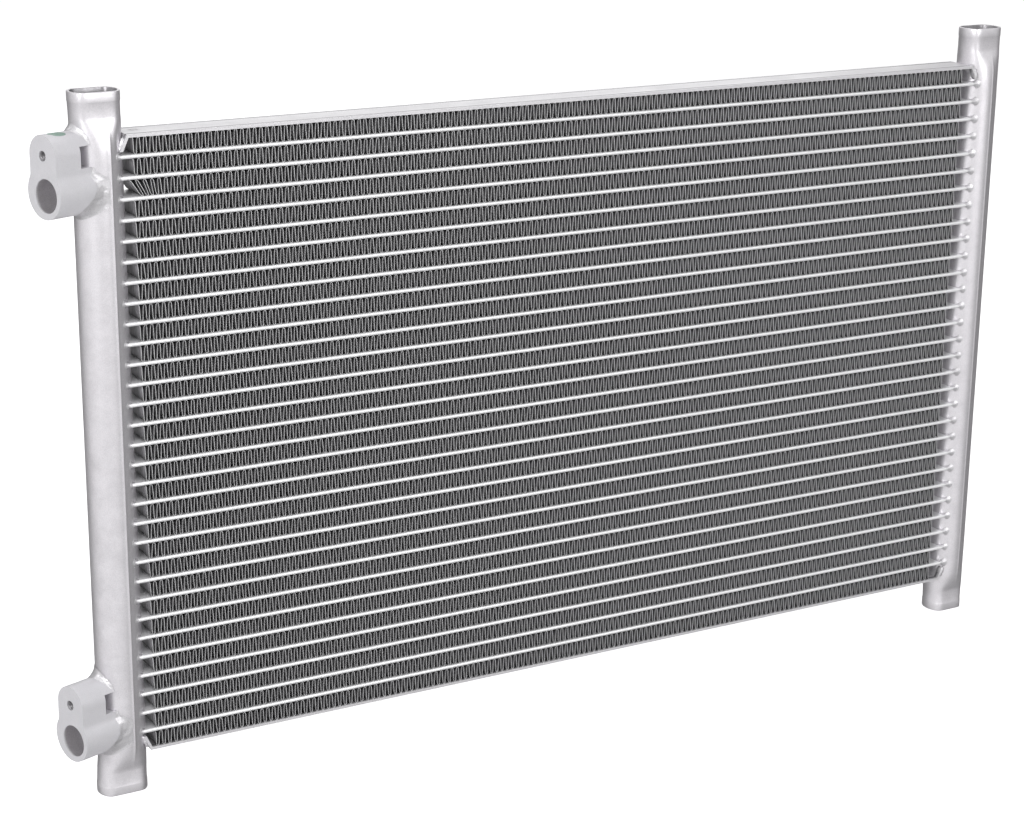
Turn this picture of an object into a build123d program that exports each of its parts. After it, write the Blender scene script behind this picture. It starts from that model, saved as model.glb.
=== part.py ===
from build123d import *
from math import cos, radians, sin
import os

os.makedirs("parts", exist_ok=True)

# A brazed aluminium condenser: flat tubes and folded fins between two round headers.
# +X runs along the core from the ported header, +Y to the back, +Z up.
# The origin is the centre of the lower side plate's outer face.

# Core, in millimetres
tube_count = 30
tube_pitch = 10.0
tube_width = 20.0
tube_thickness = 2.0
tube_bevel = 0.6
tube_end_gap = 1.5

# Fins: the real strip has a leg every 1.6 mm, and here the folds are opened out
fin_leg_count = 20
fin_depth = 19.0
fin_sheet = 0.3
fin_gap_left = 13.8
fin_gap_right = 18.2

# Headers
header_spacing = 526.0
header_wall = 1.5
header_bore_clearance = 0.5
slot_clearance = 0.1
land_distance = 4.0
land_margin = 3.0
stub_above = 20.2
stub_below = 21.9

# Pressed header ends
press_depth = 17.0
press_length = 13.0
press_taper = 9.0

# Plugs and baffles
plug_recess = 4.5
plug_thickness = 2.5
baffle_thickness = 1.5
fit_clearance = 0.1
tubes_in_pass = (11, 8, 6, 5)

# Side plates
plate_thickness = 1.5
plate_flat_gap = 11.5
tab_reach = 3.6
tab_drop = 7.9

# Port blocks
block_angle = 18.4
block_face_gap = 29.5
port_below_top_plate = 25.5
port_above_bottom_plate = 13.5
port_radius = 8.0
port_depth = 13.0
passage_radius = 4.5
bolt_rise = 18.4
bolt_hole_radius = 2.5
lower_lobe_radius = 12.3
upper_lobe_radius = 9.8
lobe_shift = 1.5
lobe_rise = 1.0
waist_fillet = 5.0
notch_height = 10.1
notch_drop = 1.35
notch_wall_gap = 15.4

# Worked out from the values above
fin_height = tube_pitch - tube_thickness
plate_inner_span = tube_count * tube_pitch + fin_height
core_top = plate_inner_span + 2 * plate_thickness
bore_radius = tube_width / 2 + header_bore_clearance
header_radius = bore_radius + header_wall
header_x = header_spacing / 2
header_top = core_top + stub_above
header_bottom = -stub_below
round_top = header_top - press_length - press_taper
round_bottom = header_bottom + press_length + press_taper
port_heights = (core_top - port_below_top_plate, port_above_bottom_plate)


def tube_height(number):
    """Height of the middle of a tube, counted from 1 at the top."""
    return core_top - plate_thickness - fin_height - tube_thickness / 2 - (number - 1) * tube_pitch


def fin_height_middle(number):
    """Height of the middle of the fin strip above a tube, or below the last tube."""
    return tube_height(number) + tube_pitch / 2


def block_plane(height):
    """Plane through the header's axis at a port: its normal is the port's axis, and its Y is up."""
    turn = radians(block_angle)
    outward = (-cos(turn), -sin(turn), 0)
    sideways = (sin(turn), -cos(turn), 0)
    return Plane(origin=(-header_x, 0, height), x_dir=sideways, z_dir=outward)


def header_form(inset):
    """A header's solid form from end to end, smaller all round by the inset.

    The tube is round, and its ends are pressed flat in front and behind.
    """
    with BuildPart() as form:
        with BuildSketch(Plane.XY.offset(header_bottom)):
            Circle(header_radius - inset)
        extrude(amount=header_top - header_bottom)
        with BuildSketch(Plane.YZ):
            with BuildLine():
                half_side = [
                    (press_depth / 2 - inset, header_bottom),
                    (press_depth / 2 - inset, header_bottom + press_length),
                    (header_radius - inset, round_bottom),
                    (header_radius - inset, round_top),
                    (press_depth / 2 - inset, header_top - press_length),
                    (press_depth / 2 - inset, header_top),
                ]
                Polyline(*half_side, *[(-y, z) for y, z in reversed(half_side)], close=True)
            make_face()
        extrude(amount=header_radius, both=True, mode=Mode.INTERSECT)
    return form.part


outer_form = header_form(0)
land_top = tube_height(1) + land_margin
land_bottom = tube_height(tube_count) - land_margin

# Space inside a header: a flat land along the slots gives the tube ends a deeper seat
with BuildPart() as bore:
    add(header_form(header_wall))
    with BuildSketch(Plane.XY.offset(land_bottom)):
        with Locations((land_distance, 0)):
            Rectangle(header_radius, 2 * header_radius, align=(Align.MIN, Align.CENTER))
    extrude(amount=land_top - land_bottom, mode=Mode.SUBTRACT)

# Header tube: pressed ends, and a slot for each flat tube on the side that faces the core
with BuildPart() as header_tube:
    add(outer_form)
    add(bore.part, mode=Mode.SUBTRACT)
    with BuildSketch(Plane.YZ):
        with Locations(*[(0, tube_height(number)) for number in range(1, tube_count + 1)]):
            Rectangle(tube_width + 2 * slot_clearance, tube_thickness + 2 * slot_clearance)
    extrude(amount=header_radius + header_wall, mode=Mode.SUBTRACT)

with BuildPart() as header_left:
    with Locations((-header_x, 0, 0)):
        add(header_tube.part)
    for height in port_heights:
        with BuildSketch(block_plane(height)):
            Circle(passage_radius)
        extrude(amount=header_radius + header_wall, mode=Mode.SUBTRACT)
header_left.part.label = "header_left"
export_step(header_left.part, "parts/header_left.step")

with BuildPart() as header_right:
    with Locations(Location((header_x, 0, 0), (0, 0, 180))):
        add(header_tube.part)
header_right.part.label = "header_right"
export_step(header_right.part, "parts/header_right.step")

# Flat tubes with bevelled edges, their ends inside the header bores
tube_length = header_spacing - 2 * tube_end_gap
for number in range(1, tube_count + 1):
    with BuildPart() as tube:
        start = Plane((-tube_length / 2, 0, tube_height(number)), x_dir=(0, 1, 0), z_dir=(1, 0, 0))
        with BuildSketch(start) as section:
            Rectangle(tube_width, tube_thickness)
            chamfer(section.vertices(), tube_bevel)
        extrude(amount=tube_length)
    tube.part.label = f"flat_tube_{number:02d}"
    export_step(tube.part, f"parts/{tube.part.label}.step")

# Fin strip: one folded sheet, from the middle of its gap
fold_start = -header_x + fin_gap_left
fold_step = (header_spacing - fin_gap_left - fin_gap_right) / fin_leg_count
with BuildPart() as fin_strip:
    with BuildSketch(Plane.XZ):
        with BuildLine():
            folds = [
                (fold_start + index * fold_step, (-1) ** index * (fin_height - fin_sheet) / 2)
                for index in range(fin_leg_count + 1)
            ]
            upper_side = [(x, z + fin_sheet / 2) for x, z in folds]
            lower_side = [(x, z - fin_sheet / 2) for x, z in folds]
            Polyline(*upper_side, *reversed(lower_side), close=True)
        make_face()
    extrude(amount=fin_depth / 2, both=True)

# Fin strips in place, one in each gap, kept together by pass
row = 1
for pass_number, tubes in enumerate(tubes_in_pass, start=1):
    strips = tubes + 1 if pass_number == len(tubes_in_pass) else tubes
    with BuildPart() as fins:
        with Locations(*[(0, 0, fin_height_middle(row + step)) for step in range(strips)]):
            add(fin_strip.part)
    fins.part.label = f"fins_pass_{pass_number}"
    export_step(fins.part, f"parts/{fins.part.label}.step")
    row = row + strips

# Side plates: a strip whose ends bend towards the core and straddle the headers
flat_end = header_x - plate_flat_gap
for name, face_height, inward in (("side_plate_top", core_top, -1), ("side_plate_bottom", 0, 1)):
    with BuildPart() as plate:
        with BuildSketch(Plane.XZ):
            with BuildLine():
                Polyline(
                    (-flat_end - tab_reach, face_height + inward * tab_drop),
                    (-flat_end, face_height),
                    (flat_end, face_height),
                    (flat_end + tab_reach, face_height + inward * tab_drop),
                    (flat_end + tab_reach - plate_thickness, face_height + inward * tab_drop),
                    (flat_end - plate_thickness / 2, face_height + inward * plate_thickness),
                    (-flat_end + plate_thickness / 2, face_height + inward * plate_thickness),
                    (-flat_end - tab_reach + plate_thickness, face_height + inward * tab_drop),
                    close=True,
                )
            make_face()
        extrude(amount=tube_width / 2, both=True)
        with Locations((-header_x, 0, 0), (header_x, 0, 0)):
            add(outer_form, mode=Mode.SUBTRACT)
    plate.part.label = name
    export_step(plate.part, f"parts/{name}.step")

# Port blocks: an extruded two-lobe bar, saddled on the header, with a notch behind the bolt
for name, height in (("port_block_top", port_heights[0]), ("port_block_bottom", port_heights[1])):
    plane = block_plane(height)
    with BuildPart() as block:
        with BuildSketch(plane) as profile:
            with Locations((-lobe_shift, lobe_rise)):
                Circle(lower_lobe_radius)
            with Locations((-lobe_shift, bolt_rise)):
                Circle(upper_lobe_radius)
            with Locations((-lobe_shift, bolt_rise / 2)):
                Rectangle(2 * upper_lobe_radius, bolt_rise)
            inner_corners = profile.vertices().filter_by(
                lambda v: lobe_rise < plane.to_local_coords(v).Y < bolt_rise - upper_lobe_radius / 2
            )
            fillet(inner_corners, waist_fillet)
        extrude(amount=block_face_gap)
        with Locations(plane.offset(block_face_gap)):
            CounterBoreHole(passage_radius, port_radius, port_depth)
        with Locations(plane.offset(block_face_gap)):
            with Locations((-lobe_shift, bolt_rise)):
                Hole(bolt_hole_radius)
        with BuildSketch(plane):
            with Locations((0, bolt_rise - notch_drop)):
                Rectangle(4 * upper_lobe_radius, notch_height)
        extrude(amount=notch_wall_gap, mode=Mode.SUBTRACT)
        with Locations((-header_x, 0, 0)):
            add(outer_form, mode=Mode.SUBTRACT)
    block.part.label = name
    export_step(block.part, f"parts/{name}.step")

# End plugs: plates set into the mouths of both headers
plug_depth = press_depth - 2 * header_wall - 2 * fit_clearance
plug_heights = (header_bottom + plug_recess, header_top - plug_recess - plug_thickness)
with BuildPart() as end_plugs:
    for height in plug_heights:
        with BuildSketch(Plane.XY.offset(height)):
            with Locations((-header_x, 0), (header_x, 0)):
                Circle(bore_radius - fit_clearance)
                Rectangle(2 * bore_radius, plug_depth, mode=Mode.INTERSECT)
        extrude(amount=plug_thickness)
end_plugs.part.label = "end_plugs"
export_step(end_plugs.part, "parts/end_plugs.step")

# Pass baffles: discs between two tubes that turn the flow back through the core
with BuildPart() as pass_baffles:
    for index, side in enumerate((-1, 1, -1)):
        last_tube = sum(tubes_in_pass[: index + 1])
        middle = tube_height(last_tube) - tube_pitch / 2
        with BuildSketch(Plane((side * header_x, 0, middle - baffle_thickness / 2), x_dir=(-side, 0, 0))):
            Circle(bore_radius - fit_clearance)
            with Locations((land_distance - fit_clearance, 0)):
                Rectangle(header_radius, 2 * header_radius, align=(Align.MIN, Align.CENTER), mode=Mode.SUBTRACT)
        extrude(amount=baffle_thickness)
pass_baffles.part.label = "pass_baffles"
export_step(pass_baffles.part, "parts/pass_baffles.step")
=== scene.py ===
import math
import random

import bpy
from mathutils import Matrix, Vector, noise


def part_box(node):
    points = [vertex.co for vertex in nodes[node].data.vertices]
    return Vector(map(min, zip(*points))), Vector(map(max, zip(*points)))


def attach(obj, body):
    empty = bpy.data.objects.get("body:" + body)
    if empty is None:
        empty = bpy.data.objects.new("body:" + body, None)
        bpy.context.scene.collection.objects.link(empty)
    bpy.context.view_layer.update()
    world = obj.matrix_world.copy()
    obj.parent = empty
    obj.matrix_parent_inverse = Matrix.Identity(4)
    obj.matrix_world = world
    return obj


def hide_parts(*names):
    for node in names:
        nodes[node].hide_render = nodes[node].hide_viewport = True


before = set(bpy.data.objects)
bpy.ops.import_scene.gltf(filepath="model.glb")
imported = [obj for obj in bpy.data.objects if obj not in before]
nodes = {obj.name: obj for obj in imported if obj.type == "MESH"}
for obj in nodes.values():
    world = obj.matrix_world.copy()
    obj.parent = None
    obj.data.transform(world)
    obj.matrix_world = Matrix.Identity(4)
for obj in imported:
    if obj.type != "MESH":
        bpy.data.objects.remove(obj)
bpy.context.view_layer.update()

MM = 0.001

# Sizes read from the frame, in metres
header_low, header_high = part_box("header_left")
tube_low, tube_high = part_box("flat_tube_01")
fins_low, fins_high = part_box("fins_pass_1")
plate_low, plate_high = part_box("side_plate_top")
header_x = -(header_low[0] + header_high[0]) / 2
header_radius = (header_high[1] - header_low[1]) / 2
header_bottom = header_low[2]
header_top = header_high[2]
tube_count = sum(name.startswith("flat_tube") for name in nodes)
tube_half_width = (tube_high[1] - tube_low[1]) / 2
tube_half_thickness = (tube_high[2] - tube_low[2]) / 2
tube_top_height = (tube_high[2] + tube_low[2]) / 2
tube_pitch = tube_top_height - sum(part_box("flat_tube_02")[side][2] for side in (0, 1)) / 2
core_top = plate_high[2]
core_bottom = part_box("side_plate_bottom")[0][2]
strips_in_pass = [11, 8, 6, 6]

# Sizes of the look, in metres
header_wall = 1.5 * MM
press_half_depth = 8.5 * MM
press_length = 13.0 * MM
press_slope = 0.39
rim_round = 0.35 * MM
ring_step = 0.16 * MM
ring_depth = 4.8 * MM
plug_inset = 5.0 * MM
seam_width = 0.5 * MM
seam_height = 0.16 * MM
fin_leg_spacing = 1.62 * MM
fin_sheet = 0.17 * MM
fin_crest_drop = 0.03 * MM

# Places where the front edges of the fins are pushed over: strip, X, half-width and lean
fin_dents = (
    (3, 210 * MM, 4.0 * MM, 1.1 * MM),
    (4, 198 * MM, 1.5 * MM, -0.7 * MM),
    (4, 222 * MM, 1.5 * MM, 0.7 * MM),
    (10, -14 * MM, 1.2 * MM, 0.6 * MM),
    (10, 12 * MM, 1.2 * MM, -0.6 * MM),
    (29, -16 * MM, 1.5 * MM, 0.8 * MM),
    (29, 3 * MM, 1.5 * MM, 0.8 * MM),
)

# Braze fillets at the tube ends: length along the tube, and spread above and below it
braze_reach = {"header_left": 1.8 * MM, "header_right": 4.4 * MM}
braze_spread = {"header_left": 1.3 * MM, "header_right": 1.7 * MM}

# Header ends: how far the mouth's middle shifts along X, and how much wider it is, (top, bottom)
mouth_shift = {"header_left": (-0.5 * MM, -1.0 * MM), "header_right": (0.0, 0.5 * MM)}
mouth_stretch = {"header_left": (1.04, 1.07), "header_right": (1.0, 0.95)}
seam_turn = {"header_left": math.radians(14), "header_right": math.radians(12)}

# The camera, solved from the photograph
camera_lens = 79.92
camera_place = Vector((-0.60732, -1.00323, 0.49714))
camera_right = Vector((0.8720, -0.4894, 0.0100))
camera_up = Vector((0.1344, 0.2590, 0.9565))

# The side from which the studio is bright
studio_bright_side = Vector((-0.68, -0.68, 0.20)).normalized()


def new_object(name, mesh):
    """An object for a mesh, in the scene."""
    made = bpy.data.objects.new(name, mesh)
    bpy.context.scene.collection.objects.link(made)
    return made


def piece(name, verts, faces, material, smooth_angle=40, replaces=()):
    """A piece of the object, from its points and faces, that rides on the part's one body."""
    mesh = bpy.data.meshes.new(name)
    mesh.from_pydata(verts, [], faces)
    mesh.validate()
    mesh.shade_smooth()
    mesh.set_sharp_from_angle(angle=math.radians(smooth_angle))
    mesh.materials.append(material)
    made = new_object(name, mesh)
    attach(made, "root")
    if replaces:
        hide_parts(*replaces)
    return made


def ease(share):
    """A smooth step from 0 to 1."""
    return share * share * (3 - 2 * share)


def ring_skin(rings, close=False):
    """Faces between rings of points of one length, with flat ends unless the rings close on themselves."""
    count = len(rings[0])
    faces = []
    pairs = len(rings) if close else len(rings) - 1
    for row in range(pairs):
        a = row * count
        b = (row + 1) % len(rings) * count
        for step in range(count):
            after = (step + 1) % count
            faces.append((a + step, a + after, b + after, b + step))
    if not close:
        faces.append(tuple(reversed(range(count))))
        faces.append(tuple(range((len(rings) - 1) * count, len(rings) * count)))
    return [point for ring in rings for point in ring], faces


# Materials

class Nodes:
    """A node tree, with short ways to add and link nodes."""

    def __init__(self, tree):
        self.tree = tree

    def add(self, kind, **inputs):
        node = self.tree.nodes.new(kind)
        for name, value in inputs.items():
            node.inputs[name].default_value = value
        return node

    def link(self, source, target):
        self.tree.links.new(source, target)

    def blend(self, factor, first, second):
        """A number between two others; each may be a socket."""
        node = self.add("ShaderNodeMix")
        for index, value in ((0, factor), (2, first), (3, second)):
            if isinstance(value, bpy.types.NodeSocket):
                self.link(value, node.inputs[index])
            else:
                node.inputs[index].default_value = value
        return node.outputs[0]

    def range(self, value, low, high, to_low, to_high):
        """A number moved smoothly from one range to another."""
        node = self.add("ShaderNodeMapRange")
        node.interpolation_type = "SMOOTHSTEP"
        for name, number in (("From Min", low), ("From Max", high), ("To Min", to_low), ("To Max", to_high)):
            node.inputs[name].default_value = number
        self.link(value, node.inputs["Value"])
        return node.outputs["Result"]

    def studio(self, direction, sign):
        """Brightness of the studio in a direction: bright at the front left and above, dim behind."""
        toward = self.add("ShaderNodeVectorMath")
        toward.operation = "DOT_PRODUCT"
        toward.inputs[1].default_value = [sign * part for part in studio_bright_side]
        self.link(direction, toward.inputs[0])
        axes = self.add("ShaderNodeSeparateXYZ")
        self.link(direction, axes.inputs[0])
        total = self.add("ShaderNodeMath")
        total.operation = "ADD"
        self.link(self.range(toward.outputs["Value"], -0.5, 0.65, 0.14, 0.92), total.inputs[0])
        above = self.range(axes.outputs["Z"], 0.0, 0.6, 0.0, 0.4) if sign > 0 else None
        if above is not None:
            self.link(above, total.inputs[1])
        else:
            total.inputs[1].default_value = 0.0
        return total.outputs[0]


class Shader(Nodes):
    """A material's node tree."""

    def __init__(self, name):
        self.material = bpy.data.materials.new(name)
        self.material.use_nodes = True
        super().__init__(self.material.node_tree)
        self.surface = self.tree.nodes["Principled BSDF"]
        self.place = self.add("ShaderNodeTexCoord").outputs["Object"]

    def stretched(self, x, y, z):
        """The object's own coordinates, scaled by a different amount each way."""
        mapping = self.add("ShaderNodeMapping", Scale=(x, y, z))
        self.link(self.place, mapping.inputs["Vector"])
        return mapping.outputs["Vector"]

    def noise(self, scale, detail=4.0, roughness=0.6, place=None):
        """Noise that varies about 0.5."""
        node = self.add("ShaderNodeTexNoise", Scale=scale, Detail=detail, Roughness=roughness)
        self.link(place or self.place, node.inputs["Vector"])
        return node.outputs["Fac"]

    def ramp(self, factor, *stops):
        """A colour ramp through (position, grey or colour) stops."""
        node = self.add("ShaderNodeValToRGB")
        elements = node.color_ramp.elements
        while len(elements) < len(stops):
            elements.new(0.5)
        for element, (position, value) in zip(elements, stops):
            element.position = position
            colour = value if isinstance(value, tuple) else (value, value, value)
            element.color = (*colour, 1.0)
        self.link(factor, node.inputs["Fac"])
        return node.outputs["Color"]

    def mix(self, factor, first, second, way="MIX"):
        """Two colours mixed; each may be a colour or a socket, and so may the factor."""
        node = self.add("ShaderNodeMix")
        node.data_type = "RGBA"
        node.blend_type = way
        for index, value in ((0, factor), (6, first), (7, second)):
            if isinstance(value, bpy.types.NodeSocket):
                self.link(value, node.inputs[index])
            elif isinstance(value, tuple):
                node.inputs[index].default_value = (*value, 1.0)
            else:
                node.inputs[index].default_value = value
        return node.outputs[2]

    def bump(self, height, strength, distance, after=None):
        """A bump node, on top of another one if given."""
        node = self.add("ShaderNodeBump", Strength=strength, Distance=distance)
        self.link(height, node.inputs["Height"])
        if after is not None:
            self.link(after, node.inputs["Normal"])
        return node.outputs["Normal"]

    def depth_ramp(self, near, far):
        """0 to 1 as the distance from the middle plane of the core goes from near to far."""
        axes = self.add("ShaderNodeSeparateXYZ")
        self.link(self.place, axes.inputs[0])
        size = self.add("ShaderNodeMath")
        size.operation = "ABSOLUTE"
        self.link(axes.outputs["Y"], size.inputs[0])
        scaled = self.add("ShaderNodeMapRange")
        scaled.inputs["From Min"].default_value = near
        scaled.inputs["From Max"].default_value = far
        self.link(size.outputs[0], scaled.inputs["Value"])
        return scaled.outputs["Result"]

    def finish(self, metallic, colour=None, roughness=None, normal=None, specular=0.5):
        """Links what varies to the surface shader and sets what doesn't on it."""
        self.surface.inputs["Metallic"].default_value = metallic
        self.surface.inputs["Specular IOR Level"].default_value = specular
        for name, value in (("Base Color", colour), ("Roughness", roughness), ("Normal", normal)):
            if isinstance(value, bpy.types.NodeSocket):
                self.link(value, self.surface.inputs[name])
            elif value is not None:
                self.surface.inputs[name].default_value = value
        return self.material


def satin_metal(name, light, dark, metallic, roughness, grain=2600.0, blotch=90.0, bump=0.25):
    """Brazed aluminium: a fine mottled grain and larger soft blotches, and painted shade on points marked as the
    inside of a header's mouth.
    """
    shader = Shader(name)
    fine = shader.noise(grain, detail=3.0, roughness=0.7)
    soft = shader.noise(blotch, detail=5.0)
    grain_colour = shader.ramp(fine, (0.3, dark), (0.62, light))
    blotch_tone = shader.ramp(soft, (0.32, 0.86), (0.62, 1.0))
    colour = shader.mix(1.0, grain_colour, blotch_tone, "MULTIPLY")
    inside_shade = shader.add("ShaderNodeAttribute")
    inside_shade.attribute_name = "inside_shade"
    # Painted shade: inside a header's mouth the colour is darkened towards near-black.
    colour = shader.mix(shader.ramp(inside_shade.outputs["Fac"], (0.0, 0.0), (1.0, 0.62)), colour, (0.08, 0.08, 0.085))
    rough = shader.ramp(soft, (0.3, roughness + 0.12), (0.7, roughness - 0.06))
    pits = shader.bump(fine, bump, 0.06 * MM)
    waves = shader.bump(soft, 0.3, 0.3 * MM, after=pits)
    return shader.finish(metallic, colour, rough, waves)


def drawn_metal(name, light, dark, metallic, roughness, groove_shade_and_stain=False):
    """Extruded aluminium: fine lines along X over a soft tone; if asked, painted shade along a line near each edge
    where a groove's shadow falls, and a small dark stain.
    """
    shader = Shader(name)
    lines = shader.noise(1.0, detail=4.0, place=shader.stretched(25.0, 2600.0, 2600.0))
    soft = shader.noise(60.0, detail=4.0)
    colour = shader.mix(soft, shader.ramp(lines, (0.3, dark), (0.6, light)), light)
    rough = shader.ramp(soft, (0.3, roughness + 0.1), (0.7, roughness - 0.05))
    normal = shader.bump(lines, 0.2, 0.03 * MM)
    if groove_shade_and_stain:
        # Painted shade: a dark line near each edge, broken by noise, standing for the shadow in a groove.
        near = shader.depth_ramp(6.9 * MM, 7.3 * MM)
        far = shader.depth_ramp(8.9 * MM, 8.5 * MM)
        band = shader.mix(1.0, near, far, "MULTIPLY")
        strong = shader.mix(1.0, band, shader.ramp(soft, (0.35, 0.45), (0.6, 0.85)), "MULTIPLY")
        colour = shader.mix(strong, colour, (0.12, 0.12, 0.13))
        away = shader.add("ShaderNodeVectorMath")
        away.operation = "DISTANCE"
        squashed = shader.stretched(260.0, 330.0, 60.0)
        shader.link(squashed, away.inputs[0])
        away.inputs[1].default_value = (-0.2440 * 260.0, 0.0014 * 330.0, core_top * 60.0)
        stain = shader.ramp(away.outputs["Value"], (0.25, 0.8), (1.0, 0.0))
        broken = shader.mix(1.0, stain, shader.ramp(shader.noise(700.0), (0.42, 0.2), (0.55, 1.0)), "MULTIPLY")
        colour = shader.mix(broken, colour, (0.16, 0.15, 0.16))
    return shader.finish(metallic, colour, rough, normal)


def fin_metal():
    """Thin folded sheet: grey legs with painted shade in louvre stripes and in the corners where a fold closes, and a
    painted highlight on the front cut edges.
    """
    shader = Shader("fin_sheet")
    louvres = shader.add("ShaderNodeTexWave", Scale=1 / (1.2 * MM) / 20 * math.pi, Distortion=0.0)
    louvres.bands_direction = "Y"
    shader.link(shader.place, louvres.inputs["Vector"])
    slats = shader.ramp(louvres.outputs["Fac"], (0.25, 0.0), (0.6, 1.0))
    soft = shader.noise(260.0, detail=4.0)
    tone = shader.ramp(soft, (0.3, (0.34, 0.34, 0.35)), (0.7, (0.56, 0.55, 0.57)))
    # Painted shade: dark stripes across the legs for the shadow in the louvre slits.
    louvre_shaded = shader.mix(shader.ramp(slats, (0.0, 0.3), (1.0, 0.0)), tone, (0.16, 0.16, 0.17))
    openness = shader.add("ShaderNodeAttribute")
    openness.attribute_name = "open"
    # Painted shade: the legs darken towards the corner where a fold is closed.
    shade = shader.ramp(openness.outputs["Fac"], (0.03, 0.07), (0.3, 0.62), (0.7, 1.0))
    legs = shader.mix(1.0, louvre_shaded, shade, "MULTIPLY")
    # Painted highlight: the front cut edges near white, with painted shade dimming them where a fold closes.
    edge = shader.depth_ramp(9.3 * MM, 9.4 * MM)
    edge_shade = shader.ramp(openness.outputs["Fac"], (0.0, 0.35), (0.5, 0.9), (1.0, 1.0))
    edges = shader.mix(1.0, (0.86, 0.86, 0.87), edge_shade, "MULTIPLY")
    colour = shader.mix(edge, legs, edges)
    normal = shader.bump(slats, 0.4, 0.2 * MM)
    return shader.finish(0.4, colour, shader.ramp(soft, (0.3, 0.5), (0.7, 0.36)), normal)


def machined_metal():
    """The port blocks: matte, with faint sawn lines and a fine grain."""
    shader = Shader("block_machined")
    grain = shader.noise(3000.0, detail=3.0, roughness=0.7)
    lines = shader.noise(1.0, detail=3.0, place=shader.stretched(150.0, 150.0, 1500.0))
    soft = shader.noise(120.0)
    light = shader.ramp(grain, (0.3, (0.64, 0.63, 0.66)), (0.65, (0.73, 0.72, 0.75)))
    colour = shader.mix(shader.ramp(soft, (0.3, 0.25), (0.7, 0.0)), light, (0.55, 0.55, 0.57))
    fine = shader.bump(grain, 0.25, 0.05 * MM)
    normal = shader.bump(lines, 0.2, 0.06 * MM, after=fine)
    return shader.finish(0.2, colour, shader.ramp(soft, (0.3, 0.52), (0.7, 0.42)), normal)


def weld_metal():
    """Weld and braze metal: bright, lumpy, with small darker spots."""
    shader = Shader("weld_metal")
    lumps = shader.noise(900.0, detail=5.0, roughness=0.65)
    spots = shader.noise(2400.0, detail=2.0)
    colour = shader.mix(shader.ramp(spots, (0.56, 0.0), (0.68, 0.7)), (0.64, 0.63, 0.65), (0.36, 0.35, 0.37))
    normal = shader.bump(lumps, 0.5, 0.25 * MM)
    return shader.finish(0.6, colour, shader.ramp(lumps, (0.35, 0.28), (0.65, 0.46)), normal)


def paint():
    """A worn dab of marking paint."""
    shader = Shader("marking_paint")
    soft = shader.noise(500.0, detail=4.0)
    colour = shader.ramp(soft, (0.3, (0.20, 0.31, 0.26)), (0.7, (0.30, 0.41, 0.36)))
    return shader.finish(0.0, colour, shader.ramp(soft, (0.3, 0.6), (0.7, 0.45)), shader.bump(soft, 0.3, 0.1 * MM))


header_metal = satin_metal("header_metal", (0.80, 0.78, 0.81), (0.66, 0.64, 0.67), 0.75, 0.35)
plug_metal = satin_metal("plug_metal", (0.30, 0.29, 0.30), (0.2, 0.19, 0.2), 0.6, 0.5)
braze_metal = satin_metal("braze_metal", (0.74, 0.73, 0.75), (0.5, 0.49, 0.51), 0.7, 0.4, grain=1400.0)
# Painted shade: a darker metal for the walls inside the ports.
port_shade_metal = satin_metal("port_shade_metal", (0.60, 0.58, 0.60), (0.44, 0.42, 0.44), 0.5, 0.45)
# Painted shade: a near-black metal for the threads deep in the bolt holes.
thread_shade_metal = satin_metal("thread_shade_metal", (0.26, 0.25, 0.26), (0.15, 0.15, 0.16), 0.6, 0.35)
plate_metal = drawn_metal("plate_metal", (0.70, 0.69, 0.71), (0.52, 0.51, 0.53), 0.5, 0.4, groove_shade_and_stain=True)
tube_metal = drawn_metal("tube_metal", (0.92, 0.92, 0.93), (0.76, 0.76, 0.78), 0.45, 0.36)
fin_sheet_metal = fin_metal()
block_metal = machined_metal()
joint_metal = weld_metal()
marking_paint = paint()


# Headers: a round tube with pressed ends and a seam each side

def header_angles(seam):
    """Angles round a header from +X, with close steps at the front seam and its twin at the back."""
    marks = []
    for middle in (seam - math.pi / 2, math.pi / 2 - seam):
        half = seam_width / header_radius
        marks += [(middle + half * share, rise) for share, rise in ((-1, 0), (-0.35, 1), (0.35, 1), (1, 0))]
    angles = [(-math.pi + 2 * math.pi * step / 64, 0) for step in range(64)]
    clear = 1.6 * seam_width / header_radius
    angles = [(angle, rise) for angle, rise in angles if min(abs(angle - mark) for mark, _ in marks) > clear]
    return sorted(angles + marks)


def squeezed(size, limit):
    """A length held smoothly under a limit."""
    if size < 1e-9:
        return size
    return (size ** -10 + limit ** -10) ** -0.1


def header_ring(name, depth_top, depth_bottom, inset, angles):
    """One ring of a header, from its depths under the top mouth and over the bottom mouth."""
    depth = min(depth_top, depth_bottom)
    end = 0 if depth_top < depth_bottom else 1
    limit = press_half_depth + max(depth - press_length, 0.0) * press_slope
    held = max(1 - max(depth - 0.6 * press_length, 0.0) / (18 * MM), 0.0)
    stretch = 1 + (mouth_stretch[name][end] - 1) * held
    shift = mouth_shift[name][end] * held
    ring = []
    for angle, rise in angles:
        radius = header_radius + seam_height * rise - seam_height
        x = math.cos(angle) * radius * stretch
        y = math.copysign(squeezed(abs(math.sin(angle)) * radius, limit), math.sin(angle))
        if inset:
            reach = math.hypot(x, y)
            x, y = x * (1 - inset / reach), y * (1 - inset / reach)
        ring.append((x + shift, y, header_top - depth_top))
    return ring


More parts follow.
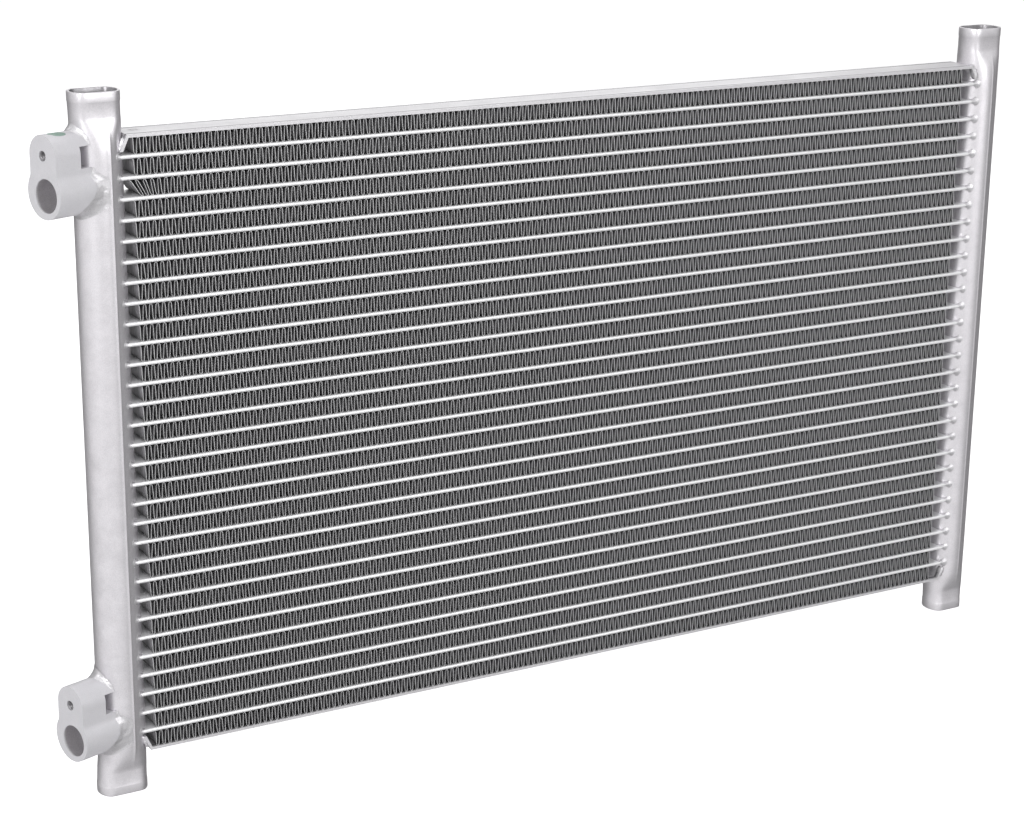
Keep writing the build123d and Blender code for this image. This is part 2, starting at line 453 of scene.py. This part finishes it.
def header(name, side):
    """A header's skin from plug to plug, round the outside."""
    angles = header_angles(seam_turn[name])
    length = header_top - header_bottom
    end_levels = [
        (plug_inset, header_wall),
        (rim_round, header_wall),
        (0.3 * rim_round, header_wall - 0.3 * rim_round),
        (0.0, header_wall - rim_round),
        (0.0, rim_round),
        (0.3 * rim_round, 0.3 * rim_round),
        (rim_round, 0.0),
        (ring_depth - 0.3 * MM, 0.0),
        (ring_depth, 0.35 * ring_step),
        (ring_depth + 0.3 * MM, ring_step),
        (press_length - 1.2 * MM, ring_step),
    ]
    end_levels += [(press_length + step * 1.6 * MM, 0.5 * ring_step) for step in range(14)]
    last = end_levels[-1][0]
    straight_steps = 50
    levels = list(end_levels)
    levels += [(last + step / straight_steps * (length - 2 * last), 0.0) for step in range(1, straight_steps)]
    levels += [(length - depth, inset) for depth, inset in reversed(end_levels)]
    rings = [header_ring(name, depth, length - depth, inset, angles) for depth, inset in levels]
    rings = [[(x + side * header_x, y, z) for x, y, z in ring] for ring in reversed(rings)]
    verts, faces = ring_skin(rings)
    made = piece(name + "_skin", verts, faces, header_metal, 50, replaces=(name,))
    # Points inside the mouth, where the header's material paints shade.
    inside_shade = [float(inset > 0.9 * header_wall) for _, inset in reversed(levels) for _ in angles]
    made.data.attributes.new("inside_shade", "FLOAT", "POINT").data.foreach_set("value", inside_shade)
    return made


# Flat tubes

def flat_tube(number):
    """A flat tube with round edges."""
    low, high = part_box(f"flat_tube_{number:02d}")
    middle = (low[2] + high[2]) / 2
    edge_steps = 8
    ring = []
    for side in (1, -1):
        for step in range(edge_steps + 1):
            turn = math.pi / 2 - math.pi * step / edge_steps
            y = side * (tube_half_width - tube_half_thickness + tube_half_thickness * math.cos(turn))
            ring.append((y, side * tube_half_thickness * math.sin(turn)))
    ring.reverse()
    rings = [[(x, y, middle + z) for y, z in ring] for x in (low[0], high[0])]
    verts, faces = ring_skin(rings)
    name = f"flat_tube_{number:02d}"
    return piece(name + "_skin", verts, faces, tube_metal, 40, replaces=(name,))


# Fins

def fin_bend(index, x, share):
    """Sideways shift of the sheet where a strip is bent; share runs from 0 at its top to 1 at its bottom."""
    shift = 0.0
    if index == 2:
        near = (x - fins_low[0]) / (9 * MM)
        shift += (5.0 * share - 2.0) * MM * math.exp(-near * near)
    for row, place, width, lean in fin_dents:
        if row == index:
            near = (x - place) / width
            shift += lean * math.sin(math.pi * share) * math.exp(-near * near)
    return shift


def fin_path(index, draws):
    """The middle line of one folded strip, as (x, z) about its middle height."""
    half_height = (tube_pitch - 2 * tube_half_thickness) / 2
    legs = round((fins_high[0] - fins_low[0]) / fin_leg_spacing)
    spacing = (fins_high[0] - fins_low[0]) / legs
    crest = (
        (-0.44, 1.1 * MM),
        (-0.33, 0.4 * MM),
        (-0.13, 0.1 * MM),
        (0.13, 0.1 * MM),
        (0.33, 0.4 * MM),
        (0.44, 1.1 * MM),
    )
    path = []
    for leg in range(legs + 1):
        up = 1 if leg % 2 == 0 else -1
        lean = 0.16 * noise.noise(Vector((leg * 0.09, index * 3.7, 0.5))) * MM
        x = fins_low[0] + leg * spacing + up * lean + draws.uniform(-0.07, 0.07) * MM
        if leg in (0, legs):
            x = min(max(x, fins_low[0]), fins_high[0])
        for along, drop in crest:
            if leg == 0 and along < 0 or leg == legs and along > 0:
                continue
            z = up * (half_height - fin_crest_drop - fin_sheet / 2 - drop + 0.1 * MM)
            share = 0.5 - z / (2 * half_height)
            path.append((x + along * spacing + fin_bend(index, x, share), z))
    return path


def fin_strip(index, middle, draws):
    """One folded strip as a thin closed sheet: (points, faces, how open the fold is at each point)."""
    path = fin_path(index, draws)
    half_height = (tube_pitch - 2 * tube_half_thickness) / 2
    rings = []
    openness = []
    for step, (x, z) in enumerate(path):
        before = path[max(step - 1, 0)]
        after = path[min(step + 1, len(path) - 1)]
        along = Vector((after[0] - before[0], after[1] - before[1])).normalized()
        across = Vector((-along.y, along.x)) * fin_sheet / 2
        rings.append([
            (x + across.x, fins_low[1], middle + z + across.y),
            (x + across.x, fins_high[1], middle + z + across.y),
            (x - across.x, fins_high[1], middle + z - across.y),
            (x - across.x, fins_low[1], middle + z - across.y),
        ])
        # How open the fold is at this height; the fin material paints shade where it is closed.
        share = 0.5 + z / (2 * half_height)
        openness += [1 - share, 1 - share, share, share]
    points, faces = ring_skin(rings)
    return points, faces, openness


def fin_pass(number, first, count):
    """The strips of one pass as one piece."""
    verts, faces, openness = [], [], []
    for index in range(first, first + count):
        middle = tube_top_height + tube_pitch / 2 - index * tube_pitch
        points, quads, opens = fin_strip(index, middle, random.Random(100 + index))
        start = len(verts)
        verts += points
        openness += opens
        faces += [tuple(start + corner for corner in quad) for quad in quads]
    name = f"fins_pass_{number}"
    made = piece(name + "_folds", verts, faces, fin_sheet_metal, 35, replaces=(name,))
    values = made.data.attributes.new("open", "FLOAT", "POINT")
    values.data.foreach_set("value", openness)
    return made


# Braze fillets where the tubes enter the headers

def braze_ring(name, side, middle, draws):
    """A hollow fillet round one tube at one header: (points, faces)."""
    edge_steps = 6
    outline = []
    for way in (1, -1):
        for step in range(edge_steps + 1):
            turn = math.pi / 2 - math.pi * step / edge_steps
            direction = Vector((way * math.cos(turn), way * math.sin(turn)))
            outline.append((way * (tube_half_width - tube_half_thickness), direction))
    long = braze_reach[name] * draws.uniform(0.85, 1.1)
    wide = braze_spread[name] * draws.uniform(0.85, 1.1)
    rings = []
    curve = ((0.0, 1.0), (0.05, 0.7), (0.15, 0.42), (0.3, 0.24), (0.55, 0.1), (1.0, 0.0), (1.05, -0.3), (0.0, -0.3))
    for spread, reach in curve:
        ring = []
        for centre_y, direction in outline:
            away = tube_half_thickness + spread * wide - 0.02 * MM
            y = centre_y + direction.x * (tube_half_thickness + 0.25 * spread * wide)
            z = direction.y * away
            limit = header_radius - 0.15 * MM
            surface = math.sqrt(max(header_radius ** 2 - min(abs(y), limit) ** 2, 0.0))
            out = surface + reach * long * (1 + 0.06 * draws.uniform(-1, 1)) - 0.25 * MM
            ring.append((side * (header_x - out), y, middle + z))
        rings.append(ring if side < 0 else list(reversed(ring)))
    return ring_skin(rings, close=True)


def braze_fillets(header_name, side):
    """All the fillets along one header."""
    draws = random.Random(7 + side)
    verts, faces = [], []
    for number in range(tube_count):
        points, quads = braze_ring(header_name, side, tube_top_height - number * tube_pitch, draws)
        start = len(verts)
        verts += points
        faces += [tuple(start + corner for corner in quad) for quad in quads]
    return piece(header_name.replace("header", "braze"), verts, faces, braze_metal, 60)


# Weld and braze metal along a path

def fillet(name, sections, lump):
    """A hollow weld between two surfaces: each section is its two feet and the corner behind them."""
    steps = 7
    rings = []
    for upper, corner, lower in sections:
        out = ((upper + lower) / 2 - corner).normalized()
        pull = corner.lerp((upper + lower) / 2, 0.42)
        ring = []
        for step in range(steps + 1):
            t = step / steps
            point = upper * (1 - t) ** 2 + pull * (2 * t * (1 - t)) + lower * t ** 2
            wave = noise.noise(point * 520) + 0.5 * noise.noise(point * 1300)
            ring.append(tuple(point + out * lump * wave * math.sin(math.pi * t) ** 0.5 + out * 0.06 * MM))
        ring.append(tuple(corner - out * 1.2 * MM))
        rings.append(ring)
    verts, faces = ring_skin(rings)
    return piece(name, verts, faces, joint_metal, 60)


def bead(name, path, radius, draws):
    """A lumpy bead of metal along a path."""
    around = 12
    rings = []
    last = len(path) - 1
    for step, point in enumerate(path):
        along = (path[min(step + 1, last)] - path[max(step - 1, 0)]).normalized()
        first = along.orthogonal().normalized()
        second = along.cross(first)
        taper = math.sqrt(max(1 - (2 * step / last - 1) ** 4, 0.02))
        ripple = 1 + 0.1 * math.sin(step * 1.9) + 0.12 * draws.uniform(-1, 1)
        ring = []
        for turn in range(around):
            angle = 2 * math.pi * turn / around
            size = radius * taper * ripple * (1 + 0.08 * draws.uniform(-1, 1))
            ring.append(tuple(point + (first * math.cos(angle) + second * math.sin(angle)) * size))
        rings.append(ring)
    verts, faces = ring_skin(rings)
    return piece(name, verts, faces, joint_metal, 70)


for name, side in (("header_left", -1), ("header_right", 1)):
    header(name, side)
    braze_fillets(name, side)
for number in range(1, tube_count + 1):
    flat_tube(number)
first_strip = 0
for number, count in enumerate(strips_in_pass, start=1):
    fin_pass(number, first_strip, count)
    first_strip += count


def dress(name, material, bevel=0.0):
    """Gives a CAD node its material, and softens its edges."""
    node = nodes[name]
    node.data.materials.clear()
    node.data.materials.append(material)
    if bevel:
        edge = node.modifiers.new("soft_edges", "BEVEL")
        edge.width = bevel
        edge.segments = 2
        edge.limit_method = "ANGLE"
        edge.angle_limit = math.radians(35)
        edge.harden_normals = False


for name in ("port_block_top", "port_block_bottom"):
    dress(name, block_metal, 0.45 * MM)
for name in ("side_plate_top", "side_plate_bottom"):
    dress(name, plate_metal, 0.15 * MM)
dress("end_plugs", plug_metal)
dress("pass_baffles", plug_metal)

# Port blocks: their welds, the threads in their bolt holes, the ports' machined walls and a dab of paint
block_turn = math.radians(18.4)
block_out = Vector((-math.cos(block_turn), -math.sin(block_turn), 0))
block_aside = Vector((math.sin(block_turn), -math.cos(block_turn), 0))
port_heights = {"top": core_top - 25.5 * MM, "bottom": 13.5 * MM}
face_gap = 29.5 * MM
notch_gap = 15.4 * MM
port_radius = 8.0 * MM
port_depth = 13.0 * MM
bolt_radius = 2.5 * MM
lobe_shift = -1.5 * MM
bolt_rise = 18.4 * MM
lower_rise = 1.0 * MM
upper_lobe = 9.8 * MM
lower_lobe = 12.3 * MM


def in_block(aside, height, out):
    """Point from its sideways, upward and outward distances off the header's axis."""
    return Vector((-header_x, 0, height)) + block_aside * aside + block_out * out


def on_header(aside, height, out=0.0):
    """Point on the header's surface at a sideways distance and a height, seen along the block's axis."""
    held = max(-0.985 * header_radius, min(0.985 * header_radius, aside))
    return in_block(held, height, math.sqrt(header_radius ** 2 - held ** 2) + out)


def lobe(centre_height, radius, start, end, steps):
    """Places round a lobe, each with its direction away from the lobe's middle: (aside, height, away)."""
    places = []
    for step in range(steps + 1):
        angle = math.radians(start + (end - start) * step / steps)
        away = Vector((math.cos(angle), math.sin(angle)))
        places.append((lobe_shift + radius * away.x, centre_height + radius * away.y, away))
    return places


def weld_sections(places, spread, reach):
    """Weld sections along places on a block's outside; spread and reach set how far the feet go."""
    sections = []
    for step, (aside, height, away) in enumerate(places):
        share = step / (len(places) - 1)
        fade = 0.25 + 0.75 * ease(min(8 * min(share, 1 - share), 1.0))
        wide = spread(share) * fade
        upper = on_header(aside + wide * away.x, height + wide * away.y)
        corner = on_header(aside, height)
        lower = on_header(aside, height, reach(share) * fade)
        sections.append((upper, corner, lower))
    return sections


def thread(name, height):
    """The thread of a bolt hole, as one helical ridge, in a near-black metal that paints the shade inside the hole."""
    turn_steps = 22
    pitch = 1.0 * MM
    turns = int((face_gap - notch_gap) / pitch) - 1
    rings = []
    for step in range(turns * turn_steps + 1):
        angle = 2 * math.pi * step / turn_steps
        along = face_gap - 0.7 * MM - step / turn_steps * pitch
        ring = []
        for radius, shift in ((bolt_radius + 0.1 * MM, 0.42), (bolt_radius - 0.4 * MM, 0.0), (bolt_radius + 0.1 * MM, -0.42)):
            aside = lobe_shift + radius * math.cos(angle)
            ring.append(tuple(in_block(aside, height + radius * math.sin(angle), along + shift * pitch)))
        rings.append(ring)
    verts, faces = ring_skin(rings)
    return piece(name, verts, faces, thread_shade_metal, 30)


def port_wall(name, height):
    """The machined wall of a port, a shallow shell with turned lines, in a darker metal that paints the shade inside
    the port.
    """
    steps = 48
    profile = [(0.02, 0.5)]
    for line in range(12):
        profile += [(-0.04, 0.6 + line), (-0.10, 1.1 + line)]
    profile.append((0.02, 12.8))
    rings = []
    for step in range(steps):
        angle = 2 * math.pi * step / steps
        ring = []
        for inset, depth in profile:
            radius = port_radius + inset * MM
            ring.append(tuple(in_block(radius * math.cos(angle), height + radius * math.sin(angle), face_gap - depth * MM)))
        rings.append(ring)
    verts, faces = ring_skin(rings, close=True)
    return piece(name, verts, faces, port_shade_metal, 50)


def paint_dab(name, height):
    """A dab of paint on top of the upper lobe, lying on its round side."""
    around = 30
    rings = []
    for share, lift in ((0.0, 0.06), (0.35, 0.07), (0.7, 0.06), (0.95, 0.05), (1.0, -0.05), (0.0, -0.08)):
        ring = []
        for step in range(around):
            turn = 2 * math.pi * step / around
            rough = 1 + 0.16 * noise.noise(Vector((math.cos(turn) * 1.7, math.sin(turn) * 1.7, 4.2)))
            size = (0.02 + 0.98 * share) * rough
            out = 22.3 * MM + 4.4 * MM * size * math.cos(turn)
            angle = math.radians(81 - 17 * size * math.sin(turn) + 5 * size * math.cos(turn))
            radius = upper_lobe + lift * MM
            aside = lobe_shift + radius * math.cos(angle)
            ring.append(tuple(in_block(aside, height + radius * math.sin(angle), out)))
        rings.append(ring)
    verts, faces = ring_skin(rings, close=True)
    return piece(name, verts, faces, marking_paint, 60)


for name, port_height in port_heights.items():
    bolt_height = port_height + bolt_rise
    crown = weld_sections(lobe(bolt_height, upper_lobe, 160, 22, 44),
                          lambda share: (6.8 - 6.0 * ease(share)) * MM, lambda share: (5.2 - 4.2 * ease(share)) * MM)
    fillet(f"weld_crown_{name}", crown, 0.35 * MM)
    foot_height = port_height + lower_rise
    side_places = [(lobe_shift + upper_lobe, port_height + rise * MM, Vector((1, 0))) for rise in (11.9, 11, 10, 9, 8)]
    under_places = side_places + lobe(foot_height, lower_lobe, 36, -155, 44)
    swell = lambda share: math.exp(-((share - 0.42) / 0.22) ** 2)
    under = weld_sections(under_places, lambda share: (1.7 + 1.5 * swell(share)) * MM,
                          lambda share: (1.8 + 3.4 * swell(share)) * MM)
    fillet(f"weld_under_{name}", under, 0.55 * MM)
    thread(f"thread_{name}", bolt_height)
    port_wall(f"port_wall_{name}", port_height)
paint_dab("paint_dab", port_heights["top"] + bolt_rise)

# Braze metal where the bent plate ends meet the headers
for name, face_height, inward in (("top", core_top, -1), ("bottom", core_bottom, 1)):
    for end in (-1, 1):
        for depth in (-1, 1):
            draws = random.Random(11 + end + 3 * depth)
            path = []
            for step in range(9):
                share = step / 8
                x = end * (header_x - (10.2 - 2.3 * share) * MM)
                path.append(Vector((x, depth * (8.3 + 0.5 * share) * MM, face_height + inward * (1.4 + 6.6 * share) * MM)))
            thick = 1.15 * MM if end < 0 else 1.9 * MM
            bead(f"braze_plate_{name}_{end}_{depth}", path, thick, draws)


# Camera, light, floor and backdrop

def look_at(place, target):
    """Rotation that points a lamp at a target."""
    return (target - place).to_track_quat("-Z", "Y").to_euler()


camera_data = bpy.data.cameras.new("camera")
camera_data.lens = camera_lens
camera_data.sensor_width = 36.0
camera_data.clip_start = 0.05
camera_data.clip_end = 50.0
camera = bpy.data.objects.new("camera", camera_data)
camera_back = camera_right.cross(camera_up)
turn = Matrix((camera_right, camera_up, camera_back)).transposed()
camera.matrix_world = Matrix.Translation(camera_place) @ turn.to_4x4()
bpy.context.scene.collection.objects.link(camera)
bpy.context.scene.camera = camera


def area_lamp(name, place, target, size, power):
    """A square soft lamp."""
    data = bpy.data.lights.new(name, "AREA")
    data.size = size
    data.energy = power
    lamp = bpy.data.objects.new(name, data)
    lamp.location = place
    lamp.rotation_euler = look_at(Vector(place), Vector(target))
    bpy.context.scene.collection.objects.link(lamp)


area_lamp("key", (-1.5, -1.0, 0.9), (-0.05, 0, 0.15), 0.9, 14.0)
area_lamp("front", (0.5, -1.9, 0.7), (0.0, 0, 0.15), 1.0, 9.5)
area_lamp("top", (0.0, 0.3, 1.6), (0.0, 0, 0.15), 1.2, 5.0)
area_lamp("back", (0.8, 1.6, 0.8), (0.0, 0, 0.15), 1.2, 5.0)

world = bpy.data.worlds.new("studio")
bpy.context.scene.world = world
world.use_nodes = True
sky = Nodes(world.node_tree)
ambient = 0.42
sky_rays = sky.add("ShaderNodeLightPath")
sky_direction = sky.add("ShaderNodeTexCoord").outputs["Generated"]
seen = sky.add("ShaderNodeMath")
seen.operation = "MAXIMUM"
sky.link(sky_rays.outputs["Is Camera Ray"], seen.inputs[0])
sky.link(sky_rays.outputs["Is Transmission Ray"], seen.inputs[1])
mirrored = sky.blend(sky_rays.outputs["Is Glossy Ray"], ambient, sky.studio(sky_direction, 1))
backdrop = sky.tree.nodes["Background"]
backdrop.inputs["Color"].default_value = (1.0, 1.0, 1.0, 1.0)
sky.link(sky.blend(seen.outputs[0], mirrored, 1.0), backdrop.inputs["Strength"])

reach = 6.0
floor_mesh = bpy.data.meshes.new("floor")
floor_mesh.from_pydata(
    [(-reach, -reach, header_bottom), (reach, -reach, header_bottom), (reach, reach, header_bottom),
     (-reach, reach, header_bottom)], [], [(0, 1, 2, 3)])
floor_shader = Shader("floor")
floor_rays = floor_shader.add("ShaderNodeLightPath")
floor_studio = floor_shader.studio(floor_shader.add("ShaderNodeNewGeometry").outputs["Incoming"], -1)
lifted = floor_shader.blend(floor_rays.outputs["Is Camera Ray"], 0.0, 0.62)
glow = floor_shader.blend(floor_rays.outputs["Is Glossy Ray"], lifted, floor_studio)
floor_shader.surface.inputs["Emission Color"].default_value = (1.0, 1.0, 1.0, 1.0)
floor_shader.link(glow, floor_shader.surface.inputs["Emission Strength"])
floor_colour = floor_shader.mix(floor_rays.outputs["Is Glossy Ray"], (0.92, 0.92, 0.92), (0.0, 0.0, 0.0))
floor_mesh.materials.append(floor_shader.finish(0.0, floor_colour, 0.9, specular=0.1))
new_object("floor", floor_mesh)

bpy.context.scene.view_settings.view_transform = "Standard"
